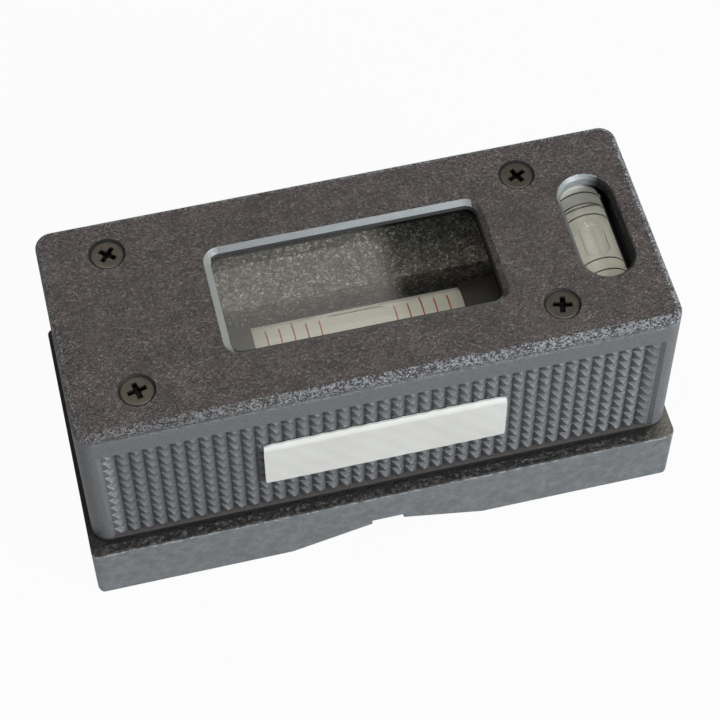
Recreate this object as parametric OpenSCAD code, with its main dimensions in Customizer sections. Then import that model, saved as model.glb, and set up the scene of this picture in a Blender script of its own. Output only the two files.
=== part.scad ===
// Crank-pin spirit level: a cast base with a shallow transverse prism, a moulded hood,
// a long main vial in an adjustable sleeve and a short cross vial at the right end.
// X runs along the level, Y across it and Z up. The origin is the middle of the sole.

/* [Base casting] */
// Length of the sole
base_l = 108; // [100:1:120]
// Width of the sole
base_w = 50; // [47:0.5:60]
// Height of the ledge that the hood stands on
base_h = 14; // [12:0.5:18]
// Radius of the four upright corners
base_corner_r = 1.2; // [0.6:0.2:4]
// Height of the cast bed above the ledge
bed_h = 19; // [18:0.5:20]
// Gap between the bed and the hood's inner walls
bed_gap = 0.4; // [0.3:0.1:0.8]

/* [Prism in the sole] */
// Width of the transverse prism at the sole
prism_w = 36; // [28:1:40]
// Included angle of the prism
prism_angle = 150; // [145:1:155]
// Width of the relief groove at its apex
relief_w = 6; // [4:0.5:8]
// Height of the relief groove above the flanks' inner edges
relief_h = 1.1; // [0.6:0.1:1.6]

/* [Hood] */
// Length of the hood
hood_l = 106; // [104.4:0.2:107]
// Width of the hood at its foot
hood_foot_w = 45.4; // [45:0.2:46.6]
// Width of the hood at the top
hood_top_w = 44; // [43.6:0.2:45]
// Height of the hood from its foot to the top
hood_h = 33.6; // [33:0.2:35]
// Thickness of the hood's side walls at the top
wall_t = 3; // [2.4:0.1:3.4]
// Thickness of the hood's top
top_t = 2.2; // [2:0.1:2.6]
// Radius of the hood's upright corners
hood_corner_r = 3; // [2:0.5:4]
// Radius along the hood's top edges
hood_edge_r = 1.5; // [0.5:0.25:2]
// Thickness of the seal under the hood's foot
seal_t = 0.4; // [0.3:0.1:0.8]
// How far the seal stands back from the hood's outside
seal_inset = 1.0; // [0.6:0.1:1.4]
// Width of the seal along the long walls
seal_side_w = 2.0; // [1.4:0.1:2.4]
// Width of the seal along the end walls
seal_end_w = 1.6; // [1:0.1:1.8]

/* [Grip field] */
// Pitch of the grip pyramids both ways
grip_pitch = 2.4; // [2.2:0.05:2.45]
// Number of pyramids along the field
grip_cols = 41; // [31:1:41]
// Number of pyramids up the field
grip_rows = 11; // [7:1:11]
// Depth of the valleys between the pyramids
grip_depth = 1.0; // [0.6:0.1:1.2]
// Distance from the hood's top down to the field
grip_drop = 6.5; // [5:0.5:7]

/* [Window] */
// Length of the window in the top, inside its chamfer
window_l = 47.6; // [45:0.2:49]
// Width of the window in the top, inside its chamfer
window_w = 20.4; // [16:0.2:20.6]
// Radius of the window's corners
window_r = 1.8; // [1:0.2:3]
// Chamfer round the window
window_chamfer = 1.3; // [0.8:0.1:1.5]
// Thickness of the clear pane
pane_t = 2; // [1.5:0.1:2.5]
// How far the pane reaches past the opening on each side
pane_lap = 1.7; // [1.5:0.1:2]
// Play between the pane's raised middle and the opening
pane_play = 0.05; // [0.03:0.01:0.1]
// Thickness of the seal between the pane and the top
pane_seal_t = 0.4; // [0.2:0.1:0.6]
// Width of that seal
pane_seal_w = 1.3; // [0.8:0.1:1.4]

/* [Slot for the cross vial] */
// Length of the slot across the level, inside its chamfer
slot_l = 21.7; // [18:0.1:22.5]
// Width of the slot, inside its chamfer
slot_w = 9; // [8.6:0.1:9.6]
// Chamfer round the slot
slot_chamfer = 0.7; // [0.5:0.1:1]
// Distance from the hood's right end to the middle of the slot
slot_inset = 9.4; // [9.1:0.1:9.6]
// How far the slot and the cross vial stand back from the middle
slot_y = 0.4; // [0:0.1:0.6]

/* [Hood screws] */
// Nominal diameter of the four countersunk screws
screw_d = 3; // [2.5:0.5:3]
// Diameter of a screw's head
screw_head_d = 5.9; // [5:0.1:6]
// Length of a screw with its head
screw_l = 20; // [18:1:21]
// How far a head lies under the hood's top
screw_sink = 0.15; // [0.05:0.05:0.3]
// Play between a head and its countersink
screw_play = 0.15; // [0.1:0.05:0.2]
// Distance from the hood's left end to the left pair of screws
screw_inset_left = 12; // [11:0.5:15]
// Distance from the hood's right end to the right pair of screws
screw_inset_right = 20; // [19.5:0.25:20.5]
// Distance between the two screws of a pair
screw_span = 28.9; // [28:0.1:29.5]
// Outside diameter of the posts that the screws pass through
post_d = 7.2; // [6.4:0.1:7.4]
// Clearance around a screw's shank in its post
screw_clear = 0.1; // [0.05:0.05:0.2]
// Gap between thread tips and their tapped holes
thread_gap = 0.02; // [0.01:0.01:0.04]
// Gap between a post's foot and the bed
post_gap = 0.1; // [0.05:0.05:0.3]

/* [Main vial] */
// Place of the main vial's middle along the level
main_x = 0.6; // [0:0.1:1.6]
// How far the vial's axis lies under the top of the bed
main_drop = 6.5; // [5.5:0.1:7]
// Outside diameter of the glass
main_d = 11; // [10:0.1:11.5]
// Bore of the glass
main_bore_d = 8.8; // [7.5:0.1:9.4]
// Length of the glass
main_l = 50; // [48:0.5:51]
// Length of the ground glass plug in each end
main_plug_l = 4; // [3:0.5:5]
// Distance between the two innermost marks
main_mark_gap = 13.8; // [12:0.2:16]
// Pitch of the marks
main_mark_pitch = 2.45; // [2:0.05:2.6]
// Number of marks on each side
main_marks = 5; // [3:1:5]
// Length of the bubble
main_bubble_l = 14; // [10:0.5:15]
// Depth of the bubble under the top of the bore
main_bubble_h = 1.5; // [1:0.1:2]
// Arc of a short mark, in degrees
mark_arc = 46; // [30:2:70]
// Arc of the long middle mark, in degrees
long_mark_arc = 76; // [60:2:110]
// Width of one mark
mark_w = 0.25; // [0.15:0.05:0.4]
// Thickness of the fired enamel of a mark
mark_t = 0.04; // [0.02:0.01:0.04]
// Gap between the bubble and the liquid around it
bubble_gap = 0.06; // [0.03:0.01:0.1]

/* [Sleeve of the main vial] */
// Room between the glass and the sleeve's bore
sleeve_room = 0.4; // [0.36:0.02:0.5]
// Wall of the sleeve
sleeve_wall = 0.6; // [0.5:0.1:0.8]
// Length of the plaster packing round each end of the vial
packing_l = 3.8; // [3:0.2:5]
// Gap between a packing and the cream lining
packing_gap = 0.4; // [0.2:0.1:0.6]
// How far the cream lining reaches under the sleeve past each end of its window
lining_tuck = 1.6; // [0.8:0.1:2]
// Thickness of each end wall
sleeve_end_t = 2.8; // [2:0.1:3]
// Gap between the glass and each end wall
sleeve_end_gap = 0.2; // [0.1:0.05:0.4]
// Room between the sleeve and the sides of its channel
channel_side = 0.5; // [0.4:0.1:0.8]
// Room between the sleeve and the floor of its channel
channel_floor = 0.9; // [0.8:0.1:1.1]
// Gap between thin linings and what they lie against
lining_gap = 0.05; // [0.05:0.01:0.08]
// Arc that the cream lining wraps round the underside of a vial, in degrees
lining_arc = 240; // [180:10:260]

/* [Pivot and adjuster] */
// Diameter of the pivot pin
pivot_d = 2.5; // [2:0.1:3]
// Length of the pivot pin
pivot_l = 30; // [24:1:34]
// Gap around the pin where it is pressed into the bed
pivot_press_gap = 0.01; // [0.005:0.005:0.02]
// Running clearance of the pin in the sleeve's lug
pivot_run = 0.03; // [0.02:0.01:0.08]
// Length of the lug on the sleeve's left end
lug_l = 6.4; // [5.6:0.2:7]
// Width of the lug
lug_w = 10; // [8:0.5:11]
// Height of the lug
lug_h = 7.5; // [6.5:0.5:8.5]
// Distance from the sleeve's right end to the adjusting screw
adjuster_reach = 5.8; // [4.8:0.2:6.2]
// Width of the tongue on the sleeve's right end
tongue_w = 8; // [7:0.5:9]
// Thickness of the tongue
tongue_t = 3; // [2.5:0.25:3.5]
// Height of the tongue's top above the vial's axis
tongue_rise = 0.5; // [0:0.1:0.8]
// How far the tongue reaches past the screw
tongue_reach = 3; // [2.8:0.1:3.2]
// Length of the adjusting screw under its head
adjuster_l = 16; // [14:0.5:17]
// Diameter of the adjusting screw's head
adjuster_head_d = 5.5; // [5:0.1:5.8]
// Height of the adjusting screw's head
adjuster_head_h = 2; // [1.6:0.1:2.4]
// Width of the slot in that head
adjuster_slot_w = 0.8; // [0.6:0.1:1]
// Running clearance of the adjusting screw in its thread
adjuster_run = 0.05; // [0.02:0.01:0.08]
// Clearance of the adjusting screw in the tongue
tongue_clear = 0.3; // [0.2:0.05:0.5]
// Outside diameter of the washer
washer_d = 6.2; // [5.8:0.1:6.6]
// Thickness of the washer
washer_t = 0.5; // [0.3:0.1:0.8]
// Gap above and below the washer
washer_gap = 0.05; // [0.03:0.01:0.08]
// Wire of the spring under the tongue
spring_wire = 0.5; // [0.3:0.05:0.55]
// Room between the spring and the adjusting screw
spring_room = 0.4; // [0.3:0.05:0.5]
// Number of turns of the spring
spring_turns = 4; // [3:1:5]
// Gap between the spring and the tongue's underside, taken up in use
spring_play = 0.35; // [0.3:0.01:0.4]

/* [Cross vial] */
// How far the cross vial's axis lies under the hood's top
cross_drop = 7.9; // [7.7:0.1:8.2]
// Outside diameter of its glass
cross_d = 9; // [8:0.1:9.2]
// Bore of its glass
cross_bore_d = 7.2; // [6:0.1:7.6]
// Length of its glass
cross_l = 24.6; // [23:0.2:25.6]
// Length of each glass plug
cross_plug_l = 1.8; // [1.4:0.2:2.4]
// Distance between the two inner rings
cross_mark_gap = 9.8; // [8:0.2:11]
// Pitch of the rings
cross_mark_pitch = 2.5; // [1.6:0.1:2.6]
// Number of rings on each side
cross_marks = 3; // [1:1:3]
// Arc of a ring round the top of the glass, in degrees
ring_arc = 200; // [160:10:350]
// Length of its bubble
cross_bubble_l = 8; // [6:0.5:10]
// Depth of its bubble under the top of the bore
cross_bubble_h = 0.9; // [0.7:0.1:1.8]

/* [Holder of the cross vial] */
// Size of the holder along the level
holder_w = 10.8; // [10.6:0.1:11]
// How far each end of the glass reaches past the holder's saddle
saddle_back = 0.6; // [0.4:0.1:1]
// Height of the saddle's rims under the vial's axis
saddle_drop = 1.2; // [0.8:0.1:1.6]
// How far the holder's flange reaches past the heads of its screws
flange_rim = 0.2; // [0.1:0.1:0.4]
// Thickness of the flange
flange_t = 3; // [2:0.25:3.5]
// Room between the glass's ends and the heads of the holder's two screws
holder_screw_room = 0.4; // [0.3:0.1:0.6]
// Nominal diameter of the holder's screws
holder_screw_d = 2.5; // [2:0.5:2.5]
// Length of those screws under the head
holder_screw_l = 8; // [6:0.5:9]
// Diameter of their heads
holder_head_d = 4.6; // [4:0.1:4.8]
// Height of their heads
holder_head_h = 1.6; // [1.2:0.1:1.8]
// Width of the slots in their heads
holder_slot_w = 0.7; // [0.5:0.1:0.9]
// Length of each packing under the cross vial
cross_packing_l = 1; // [0.8:0.1:1.6]

/* [Label] */
// Length of the label plate
label_l = 43.4; // [36:0.2:50]
// Height of the label plate
label_h = 11; // [9:0.2:14]
// Thickness of the label plate
label_t = 0.4; // [0.2:0.1:0.6]
// Height of its middle above the hood's foot
label_z = 14.35; // [12:0.05:17]

/* [Hidden] */
$fn = 48;
over = 1;

// Levels, from the sole up
foot_z = base_h + seal_t;
hood_top = foot_z + hood_h;
ceiling_z = hood_top - top_t;
bed_top = base_h + bed_h;
main_z = bed_top - main_drop;
cross_z = hood_top - cross_drop;

// Prism
flank_h = (prism_w - relief_w) / 2 * tan(90 - prism_angle / 2);
relief_top = flank_h + relief_h;

// Hood and bed in plan
cavity_l = hood_l - 2 * wall_t;
cavity_w = hood_top_w - 2 * wall_t;
bed_l = cavity_l - 2 * bed_gap;
bed_w = cavity_w - 2 * bed_gap;
draft = atan((hood_foot_w - hood_top_w) / 2 / hood_h);

// Hood screws
screw_r = screw_d / 2;
screw_head_r = screw_head_d / 2;
sink_r = screw_head_r + screw_play + screw_sink;
screw_xs = [screw_inset_left - hood_l / 2, hood_l / 2 - screw_inset_right];
screw_ys = [-screw_span / 2, screw_span / 2];
screw_turns = [[12, 50], [75, 25]];

// Main vial, sleeve and adjuster
main_r = main_d / 2;
sleeve_bore_r = main_r + sleeve_room;
sleeve_r = sleeve_bore_r + sleeve_wall;
sleeve_l = main_l + 2 * sleeve_end_gap + 2 * sleeve_end_t;
sleeve_x0 = main_x - sleeve_l / 2;
sleeve_x1 = main_x + sleeve_l / 2;
lining_l = main_l - 2 * (packing_l + packing_gap);
sleeve_window_l = lining_l - 2 * lining_tuck;
lining_in = main_r + lining_gap;
lining_out = sleeve_bore_r - lining_gap;
channel_w = 2 * (sleeve_r + channel_side);
channel_z = main_z - sleeve_r - channel_floor;
pivot_x = sleeve_x0 - lug_l / 2;
adjuster_x = sleeve_x1 + adjuster_reach;
tongue_top = main_z + tongue_rise;
tongue_under = tongue_top - tongue_t;
washer_z = tongue_top + washer_gap;
adjuster_head_z = washer_z + washer_t + washer_gap;
channel_x0 = pivot_x - lug_l / 2 - channel_side;
channel_x1 = adjuster_x + tongue_reach + channel_side;

// Cross vial and holder
cross_r = cross_d / 2;
trough_r = cross_r + sleeve_room;
saddle_top = cross_z - saddle_drop;
slot_x = hood_l / 2 - slot_inset;
saddle_l = cross_l - 2 * saddle_back;
holder_screw_span = cross_l + holder_head_d + 2 * holder_screw_room;
flange_l = holder_screw_span + holder_head_d + 2 * flange_rim;
holder_tip_z = bed_top + flange_t - holder_screw_l;
cross_lining_l = saddle_l - 2 * (cross_packing_l + packing_gap);

// Flat rounded rectangle, made of two rectangles and four discs
module rounded_rect(l, w, r) {
    square([l - 2 * r, w], center = true);
    square([l, w - 2 * r], center = true);
    for (sx = [-1, 1], sy = [-1, 1])
        translate([sx * (l / 2 - r), sy * (w / 2 - r)])
            circle(r);
}

// Upright prism of a rounded rectangle, from z0 to z1
module rounded_block(l, w, r, z0, z1) {
    translate([0, 0, z0])
        linear_extrude(z1 - z0)
            rounded_rect(l, w, r);
}

// Cylinder along X, centred at x
module bar_x(r, l, x, z) {
    translate([x - l / 2, 0, z])
        rotate([0, 90, 0])
            cylinder(r = r, h = l);
}

// Cylinder along Y, centred at y
module bar_y(r, l, x, y, z) {
    translate([x, y + l / 2, z])
        rotate([90, 0, 0])
            cylinder(r = r, h = l);
}

// Side view of the hood: straight sides, each top corner an arc of 9 points
function arch(half_foot, half_top, z0, z1, r) = concat(
    [[-half_foot, z0], [half_foot, z0]],
    [for (i = [0:8]) [half_top - r + r * cos(i * 11.25), z1 - r + r * sin(i * 11.25)]],
    [for (i = [8:-1:0]) [-half_top + r - r * cos(i * 11.25), z1 - r + r * sin(i * 11.25)]]);

// Solid body of the hood before it is hollowed
module hood_blank() {
    intersection() {
        rounded_block(hood_l, hood_foot_w, hood_corner_r, foot_z, hood_top);
        rotate([90, 0, 90])
            linear_extrude(hood_l + over, center = true)
                polygon(arch(hood_foot_w / 2, hood_top_w / 2, foot_z, hood_top, hood_edge_r));
        rotate([90, 0, 0])
            linear_extrude(hood_foot_w + over, center = true)
                polygon(arch(hood_l / 2, hood_l / 2, foot_z, hood_top, hood_edge_r));
    }
}

// Row of V grooves along one long wall, leaving ridges whose tips lie in the wall's own face
module grip_grooves() {
    field_l = grip_cols * grip_pitch;
    field_h = grip_rows * grip_pitch;
    translate([-field_l / 2, -hood_foot_w / 2, foot_z])
        rotate([-draft, 0, 0])
            translate([0, 0, hood_h - grip_drop - field_h])
                linear_extrude(field_h)
                    for (i = [0:grip_cols])
                        polygon([[(i - 0.5) * grip_pitch + (i == 0 ? grip_pitch / 2 : 0), -0.001],
                            [i * grip_pitch, grip_depth],
                            [(i + 0.5) * grip_pitch - (i == grip_cols ? grip_pitch / 2 : 0), -0.001]]);
}

// Opening through the hood's top: straight walls below, a chamfer at 45 degrees above,
// cut by cones at the corners and by two roof-shaped prisms along the sides
module chamfered_opening(l, w, r, c) {
    rounded_block(l, w, r, ceiling_z - over, hood_top + over);
    for (sx = [-1, 1], sy = [-1, 1])
        translate([sx * (l / 2 - r), sy * (w / 2 - r), hood_top - c])
            cylinder(r1 = r, r2 = r + c + 0.1, h = c + 0.1);
    rotate([90, 0, 0])
        linear_extrude(w - 2 * r, center = true)
            polygon([[-l / 2, hood_top - c], [l / 2, hood_top - c], [l / 2 + c + 0.1, hood_top + 0.1],
                [-l / 2 - c - 0.1, hood_top + 0.1]]);
    rotate([90, 0, 90])
        linear_extrude(l - 2 * r, center = true)
            polygon([[-w / 2, hood_top - c], [w / 2, hood_top - c], [w / 2 + c + 0.1, hood_top + 0.1],
                [-w / 2 - c - 0.1, hood_top + 0.1]]);
}

module base_body() {
    color("dimgray")
    difference() {
        union() {
            rounded_block(base_l, base_w, base_corner_r, 0, base_h);
            rounded_block(bed_l, bed_w, 1, base_h - over, bed_top);
        }
        // Transverse prism with its relief groove
        rotate([90, 0, 0])
            linear_extrude(base_w + 2 * over, center = true)
                polygon([[-prism_w / 2 - over / tan(90 - prism_angle / 2), -over], [-relief_w / 2, flank_h],
                    [-relief_w / 2, relief_top], [relief_w / 2, relief_top], [relief_w / 2, flank_h],
                    [prism_w / 2 + over / tan(90 - prism_angle / 2), -over]]);
        // Channel of the vial sleeve
        translate([channel_x0, -channel_w / 2, channel_z])
            cube([channel_x1 - channel_x0, channel_w, bed_top - channel_z + over]);
        // Cross hole of the pivot pin
        bar_y(pivot_d / 2 + pivot_press_gap, bed_w + 2 * over, pivot_x, 0, main_z);
        // Tapped holes of the hood screws
        for (x = screw_xs, y = screw_ys)
            translate([x, y, hood_top - screw_sink - screw_l - over])
                cylinder(r = screw_r + thread_gap, h = bed_top - hood_top + screw_sink + screw_l + 2 * over);
        // Tapped hole of the adjusting screw
        translate([adjuster_x, 0, adjuster_head_z - adjuster_l - over])
            cylinder(r = screw_r + adjuster_run, h = channel_z - adjuster_head_z + adjuster_l + 2 * over);
        // Tapped holes of the cross vial's holder
        for (s = [-1, 1])
            translate([slot_x, slot_y + s * holder_screw_span / 2, holder_tip_z - over])
                cylinder(r = holder_screw_d / 2 + thread_gap, h = holder_screw_l - flange_t + 2 * over);
    }
}

module foot_seal() {
    color("black")
    difference() {
        rounded_block(hood_l - 2 * seal_inset, hood_foot_w - 2 * seal_inset, hood_corner_r - seal_inset / 2,
            base_h, foot_z);
        rounded_block(hood_l - 2 * seal_inset - 2 * seal_end_w,
            hood_foot_w - 2 * seal_inset - 2 * seal_side_w, 1, base_h - over, foot_z + over);
    }
}

module housing() {
    color("slategray")
    difference() {
        union() {
            difference() {
                hood_blank();
                rounded_block(cavity_l, cavity_w, 1, foot_z - over, ceiling_z);
                grip_grooves();
                mirror([0, 1, 0])
                    grip_grooves();
            }
            // Posts that the hood screws pass through
            for (x = screw_xs, y = screw_ys)
                translate([x, y, bed_top + post_gap])
                    cylinder(d = post_d, h = ceiling_z - bed_top - post_gap + top_t / 2);
        }
        // Window
        chamfered_opening(window_l, window_w, window_r, window_chamfer);
        // Slot of the cross vial
        translate([slot_x, slot_y, 0])
            chamfered_opening(slot_w, slot_l, slot_w / 2 - 0.01, slot_chamfer);
        // Screw holes with their countersinks
        for (x = screw_xs, y = screw_ys)
            translate([x, y, 0]) {
                translate([0, 0, bed_top])
                    cylinder(r = screw_r + screw_clear, h = hood_top - bed_top + over);
                translate([0, 0, hood_top - sink_r + screw_r])
                    cylinder(r1 = screw_r, r2 = sink_r, h = sink_r - screw_r);
            }
    }
}

module window_pane() {
    color([0.8, 0.9, 0.9, 0.4])
    union() {
        rounded_block(window_l + 2 * pane_lap, window_w + 2 * pane_lap, window_r,
            ceiling_z - pane_seal_t - pane_t, ceiling_z - pane_seal_t);
        // Middle that fills the opening up to its chamfer
        rounded_block(window_l - 2 * pane_play, window_w - 2 * pane_play, window_r,
            ceiling_z - pane_seal_t - pane_t / 2, hood_top - window_chamfer - pane_play);
    }
}

module pane_seal() {
    color("black")
    difference() {
        rounded_block(window_l + 2 * pane_seal_w, window_w + 2 * pane_seal_w, window_r,
            ceiling_z - pane_seal_t, ceiling_z);
        rounded_block(window_l, window_w, window_r, ceiling_z - pane_seal_t - over, ceiling_z + over);
    }
}

// Countersunk screw with a cross recess, its head's face at z = 0
module countersunk_screw(turn) {
    cone_h = screw_head_r - screw_r;
    difference() {
        union() {
            translate([0, 0, -cone_h])
                cylinder(r1 = screw_r, r2 = screw_head_r, h = cone_h);
            translate([0, 0, -screw_l])
                cylinder(r = screw_r, h = screw_l - cone_h / 2);
        }
        rotate([0, 0, turn])
            for (a = [0, 90])
                rotate([0, 0, a])
                    cube([screw_head_d * 0.55, screw_head_d * 0.14, cone_h * 1.7], center = true);
    }
}

module housing_screws() {
    color("gray")
    for (i = [0, 1], j = [0, 1])
        translate([screw_xs[i], screw_ys[j], hood_top - screw_sink])
            countersunk_screw(screw_turns[i][j]);
}

module label_plate() {
    color("ivory")
    translate([0, -hood_foot_w / 2, foot_z])
        rotate([-draft, 0, 0])
            translate([-label_l / 2, -label_t, label_z - label_h / 2])
                cube([label_l, label_t, label_h]);
}

// Segment of the bore above a chord, carried along X: the shape of a bubble
module bubble_slug(bore_r, depth, len) {
    intersection() {
        translate([-len / 2, 0, 0])
            rotate([0, 90, 0])
                cylinder(r = bore_r, h = len);
        translate([-len / 2 - over, -bore_r, bore_r - depth])
            cube([len + 2 * over, 2 * bore_r, depth + over]);
    }
}

// Glass tube along X, centred on the origin
module glass_tube(r, bore_r, len) {
    difference() {
        bar_x(r, len, 0, 0);
        bar_x(bore_r, len + 2 * over, 0, 0);
    }
}

// Pair of plugs that close a tube
module glass_plugs(bore_r, len, plug_l) {
    for (s = [-1, 1])
        bar_x(bore_r - 0.01, plug_l, s * (len - plug_l) / 2, 0);
}

// Liquid between the plugs, less the way that the bubble runs in
module liquid_fill(bore_r, len, plug_l, depth) {
    difference() {
        bar_x(bore_r - 0.01, len - 2 * plug_l - 0.02, 0, 0);
        bubble_slug(bore_r + over, depth + over + bubble_gap, len - 2 * plug_l - 0.4);
    }
}

// Thin ring or arc of enamel around a tube along X, at x, open over the given angle
module enamel_ring(r, x, arc) {
    translate([x - mark_w / 2, 0, 0])
        rotate([0, 90, 0])
            rotate([0, 0, 180 - arc / 2])
                rotate_extrude(angle = arc)
                    translate([r, 0])
                        square([mark_t, mark_w]);
}

// Shell wrapped round the underside of a tube along X, over the given arc
module lining(r_in, r_out, len, arc) {
    translate([-len / 2, 0, 0])
        rotate([0, 90, 0])
            rotate([0, 0, -arc / 2])
                rotate_extrude(angle = arc)
                    translate([r_in, 0])
                        square([r_out - r_in, len]);
}

module main_vial_tube() {
    color([0.85, 0.9, 0.85, 0.4])
    translate([main_x, 0, main_z])
        glass_tube(main_r, main_bore_d / 2, main_l);
}

module main_vial_plugs() {
    color([0.85, 0.9, 0.85, 0.6])
    translate([main_x, 0, main_z])
        glass_plugs(main_bore_d / 2, main_l, main_plug_l);
}

module main_vial_liquid() {
    color([0.9, 0.9, 0.8, 0.4])
    translate([main_x, 0, main_z])
        liquid_fill(main_bore_d / 2, main_l, main_plug_l, main_bubble_h);
}

module main_bubble() {
    color("white")
    translate([main_x, 0, main_z])
        bubble_slug(main_bore_d / 2 - bubble_gap, main_bubble_h - bubble_gap, main_bubble_l);
}

module main_graduations() {
    color("firebrick")
    translate([main_x, 0, main_z])
        for (s = [-1, 1], i = [0:main_marks - 1])
            enamel_ring(main_r, s * (main_mark_gap / 2 + i * main_mark_pitch),
                i == floor(main_marks / 2) ? long_mark_arc : mark_arc);
}

module main_reflector() {
    color("cornsilk")
    translate([main_x, 0, main_z])
        lining(lining_in, lining_out, lining_l, lining_arc);
}

module main_packings() {
    color("white")
    for (s = [-1, 1])
        translate([main_x + s * (main_l - packing_l) / 2, 0, main_z])
            glass_tube(lining_out, lining_in, packing_l);
}

module vial_sleeve() {
    color("darkslategray")
    difference() {
        union() {
            bar_x(sleeve_r, sleeve_l, main_x, main_z);
            // Lug on the left end
            translate([pivot_x - lug_l / 2, -lug_w / 2, main_z - lug_h / 2])
                cube([lug_l + over, lug_w, lug_h]);
            // Tongue on the right end
            translate([sleeve_x1 - over, -tongue_w / 2, tongue_under])
                cube([adjuster_x + tongue_reach - sleeve_x1 + over, tongue_w, tongue_t]);
        }
        bar_x(sleeve_bore_r, main_l + 2 * sleeve_end_gap, main_x, main_z);
        // Window over the vial
        translate([main_x - sleeve_window_l / 2, -sleeve_r - over, main_z + 0.5])
            cube([sleeve_window_l, 2 * sleeve_r + 2 * over, sleeve_r + over]);
        bar_y(pivot_d / 2 + pivot_run, lug_w + 4 * over, pivot_x, 0, main_z);
        translate([adjuster_x, 0, tongue_under - over])
            cylinder(r = screw_r + tongue_clear, h = tongue_t + 2 * over);
    }
}

module pivot_pin() {
    color("silver")
    bar_y(pivot_d / 2, pivot_l, pivot_x, 0, main_z);
}

module adjusting_screw() {
    color("silver")
    translate([adjuster_x, 0, adjuster_head_z])
        difference() {
            union() {
                cylinder(d = adjuster_head_d, h = adjuster_head_h);
                translate([0, 0, -adjuster_l])
                    cylinder(r = screw_r, h = adjuster_l + over);
            }
            translate([0, 0, adjuster_head_h])
                cube([adjuster_head_d + over, adjuster_slot_w, adjuster_head_h], center = true);
        }
}

module adjusting_washer() {
    color("silver")
    translate([adjuster_x, 0, washer_z])
        difference() {
            cylinder(d = washer_d, h = washer_t);
            translate([0, 0, -over])
                cylinder(r = screw_r + adjuster_run, h = washer_t + 2 * over);
        }
}

// Coil of round wire: rings of 8 points carried round and up, closed by a fan at each end
module adjusting_spring() {
    coil_r = screw_r + spring_room + spring_wire / 2;
    rise = tongue_under - spring_play - channel_z - spring_wire;
    steps = spring_turns * 20;
    ring = [for (k = [0:7]) [cos(k * 45), sin(k * 45)] * spring_wire / 2];
    points = [for (i = [0:steps], k = [0:7])
        [(coil_r + ring[k][0]) * cos(i * 18), (coil_r + ring[k][0]) * sin(i * 18),
            ring[k][1] + spring_wire / 2 + rise * i / steps]];
    sides = [for (i = [0:steps - 1], k = [0:7])
        [i * 8 + k, (i + 1) * 8 + k, (i + 1) * 8 + (k + 1) % 8, i * 8 + (k + 1) % 8]];
    ends = [[for (k = [0:7]) k], [for (k = [7:-1:0]) steps * 8 + k]];
    color("silver")
    translate([adjuster_x, 0, channel_z])
        polyhedron(points, concat(sides, ends));
}

// The cross vial is drawn along X like the main one and turned across the level
module across() {
    translate([slot_x, slot_y, cross_z])
        rotate([0, 0, 90])
            children();
}

module cross_vial_tube() {
    color([0.85, 0.9, 0.85, 0.4])
    across()
        glass_tube(cross_r, cross_bore_d / 2, cross_l);
}

module cross_vial_plugs() {
    color([0.85, 0.9, 0.85, 0.6])
    across()
        glass_plugs(cross_bore_d / 2, cross_l, cross_plug_l);
}

module cross_vial_liquid() {
    color([0.9, 0.9, 0.8, 0.4])
    across()
        liquid_fill(cross_bore_d / 2, cross_l, cross_plug_l, cross_bubble_h);
}

module cross_bubble() {
    color("white")
    across()
        bubble_slug(cross_bore_d / 2 - bubble_gap, cross_bubble_h - bubble_gap, cross_bubble_l);
}

module cross_graduations() {
    color("black")
    across()
        for (s = [-1, 1], i = [0:cross_marks - 1])
            enamel_ring(cross_r, s * (cross_mark_gap / 2 + i * cross_mark_pitch), ring_arc);
}

module cross_reflector() {
    color("cornsilk")
    across()
        lining(cross_r + lining_gap, trough_r - lining_gap, cross_lining_l, lining_arc);
}

module cross_packings() {
    color("white")
    across()
        for (s = [-1, 1])
            translate([s * (saddle_l - cross_packing_l) / 2, 0, 0])
                lining(cross_r + lining_gap, trough_r - lining_gap, cross_packing_l, 180);
}

module cross_holder() {
    color("darkslategray")
    difference() {
        union() {
            translate([slot_x - holder_w / 2, slot_y - flange_l / 2, bed_top])
                cube([holder_w, flange_l, flange_t]);
            translate([slot_x - holder_w / 2, slot_y - saddle_l / 2, bed_top])
                cube([holder_w, saddle_l, saddle_top - bed_top]);
        }
        bar_y(trough_r, cross_l + over, slot_x, slot_y, cross_z);
        for (s = [-1, 1])
            translate([slot_x, slot_y + s * holder_screw_span / 2, bed_top - over])
                cylinder(r = holder_screw_d / 2 + screw_clear, h = flange_t + 2 * over);
    }
}

module cross_holder_screws() {
    color("silver")
    for (s = [-1, 1])
        translate([slot_x, slot_y + s * holder_screw_span / 2, bed_top + flange_t])
            difference() {
                union() {
                    cylinder(d = holder_head_d, h = holder_head_h);
                    translate([0, 0, -holder_screw_l])
                        cylinder(d = holder_screw_d, h = holder_screw_l + over);
                }
                translate([0, 0, holder_head_h])
                    cube([holder_head_d + over, holder_slot_w, holder_head_h], center = true);
            }
}

base_body();
foot_seal();
housing();
window_pane();
pane_seal();
housing_screws();
label_plate();
main_vial_tube();
main_vial_plugs();
main_vial_liquid();
main_bubble();
main_graduations();
main_reflector();
main_packings();
vial_sleeve();
pivot_pin();
adjusting_screw();
adjusting_washer();
adjusting_spring();
cross_vial_tube();
cross_vial_plugs();
cross_vial_liquid();
cross_bubble();
cross_graduations();
cross_reflector();
cross_packings();
cross_holder();
cross_holder_screws();
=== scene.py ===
"""Looks of a crank-pin spirit level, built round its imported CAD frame. Sizes are typed in millimetres."""
import math

import bmesh
import bpy
import numpy as np
from mathutils import Matrix, Vector
from mathutils.geometry import delaunay_2d_cdt


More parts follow.
